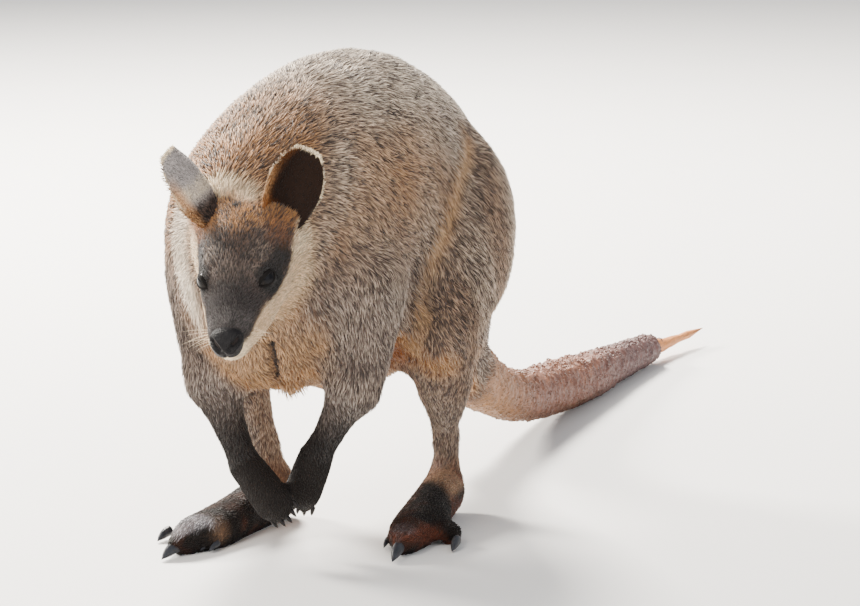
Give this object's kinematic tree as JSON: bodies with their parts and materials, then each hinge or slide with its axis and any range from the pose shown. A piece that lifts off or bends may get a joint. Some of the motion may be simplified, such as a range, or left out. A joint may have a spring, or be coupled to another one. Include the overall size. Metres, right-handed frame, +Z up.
{
  "type": "wallaby",
  "caption": "Life-size still wallaby standing hunched on its hind feet, head lowered, forepaws hanging together and thick bare tail laid on the floor behind it.",
  "frame": {"origin": "on the floor, under the middle of the animal's bounding box", "axes": "+Z up, -Y the way the animal faces, +X its left side"},
  "size_m": [0.2562, 1.1964, 0.4332],
  "materials": {
    "coat": "dense grizzled fur",
    "dark_coat": "short dark fur",
    "ear": "thinly furred skin",
    "tail_skin": "bare warty skin",
    "tail_end": "dried skin",
    "claw": "worn horn",
    "nose": "damp, finely pebbled skin",
    "eye": "wet gloss"
  },
  "bodies": {
    "root": {"claw_toe_2_left": "claw", "claw_toe_3_left": "claw", "claw_toe_4_left": "claw", "claw_toe_5_left": "claw", "claw_finger_1_left": "claw", "claw_finger_2_left": "claw", "claw_finger_3_left": "claw", "claw_finger_4_left": "claw", "claw_finger_5_left": "claw", "claw_toe_2_right": "claw", "claw_toe_3_right": "claw", "claw_toe_4_right": "claw", "claw_toe_5_right": "claw", "claw_finger_1_right": "claw", "claw_finger_2_right": "claw", "claw_finger_3_right": "claw", "claw_finger_4_right": "claw", "claw_finger_5_right": "claw", "hand_left": "dark_coat", "forearm_left": "coat", "upper_arm_left": "coat", "foot_left": "dark_coat", "shank_left": "coat", "thigh_left": "coat", "hand_right": "dark_coat", "forearm_right": "coat", "upper_arm_right": "coat", "foot_right": "dark_coat", "shank_right": "coat", "thigh_right": "coat", "ear_left": "ear", "eye_left": "eye", "ear_right": "ear", "eye_right": "eye", "nose": "nose", "head": "coat", "neck": "coat", "tail_end": "tail_end", "tail_tip": "tail_skin", "tail_middle": "tail_skin", "tail_base": "tail_skin", "tail_root": "tail_skin", "trunk": "coat"}
  },
  "joints": []
}
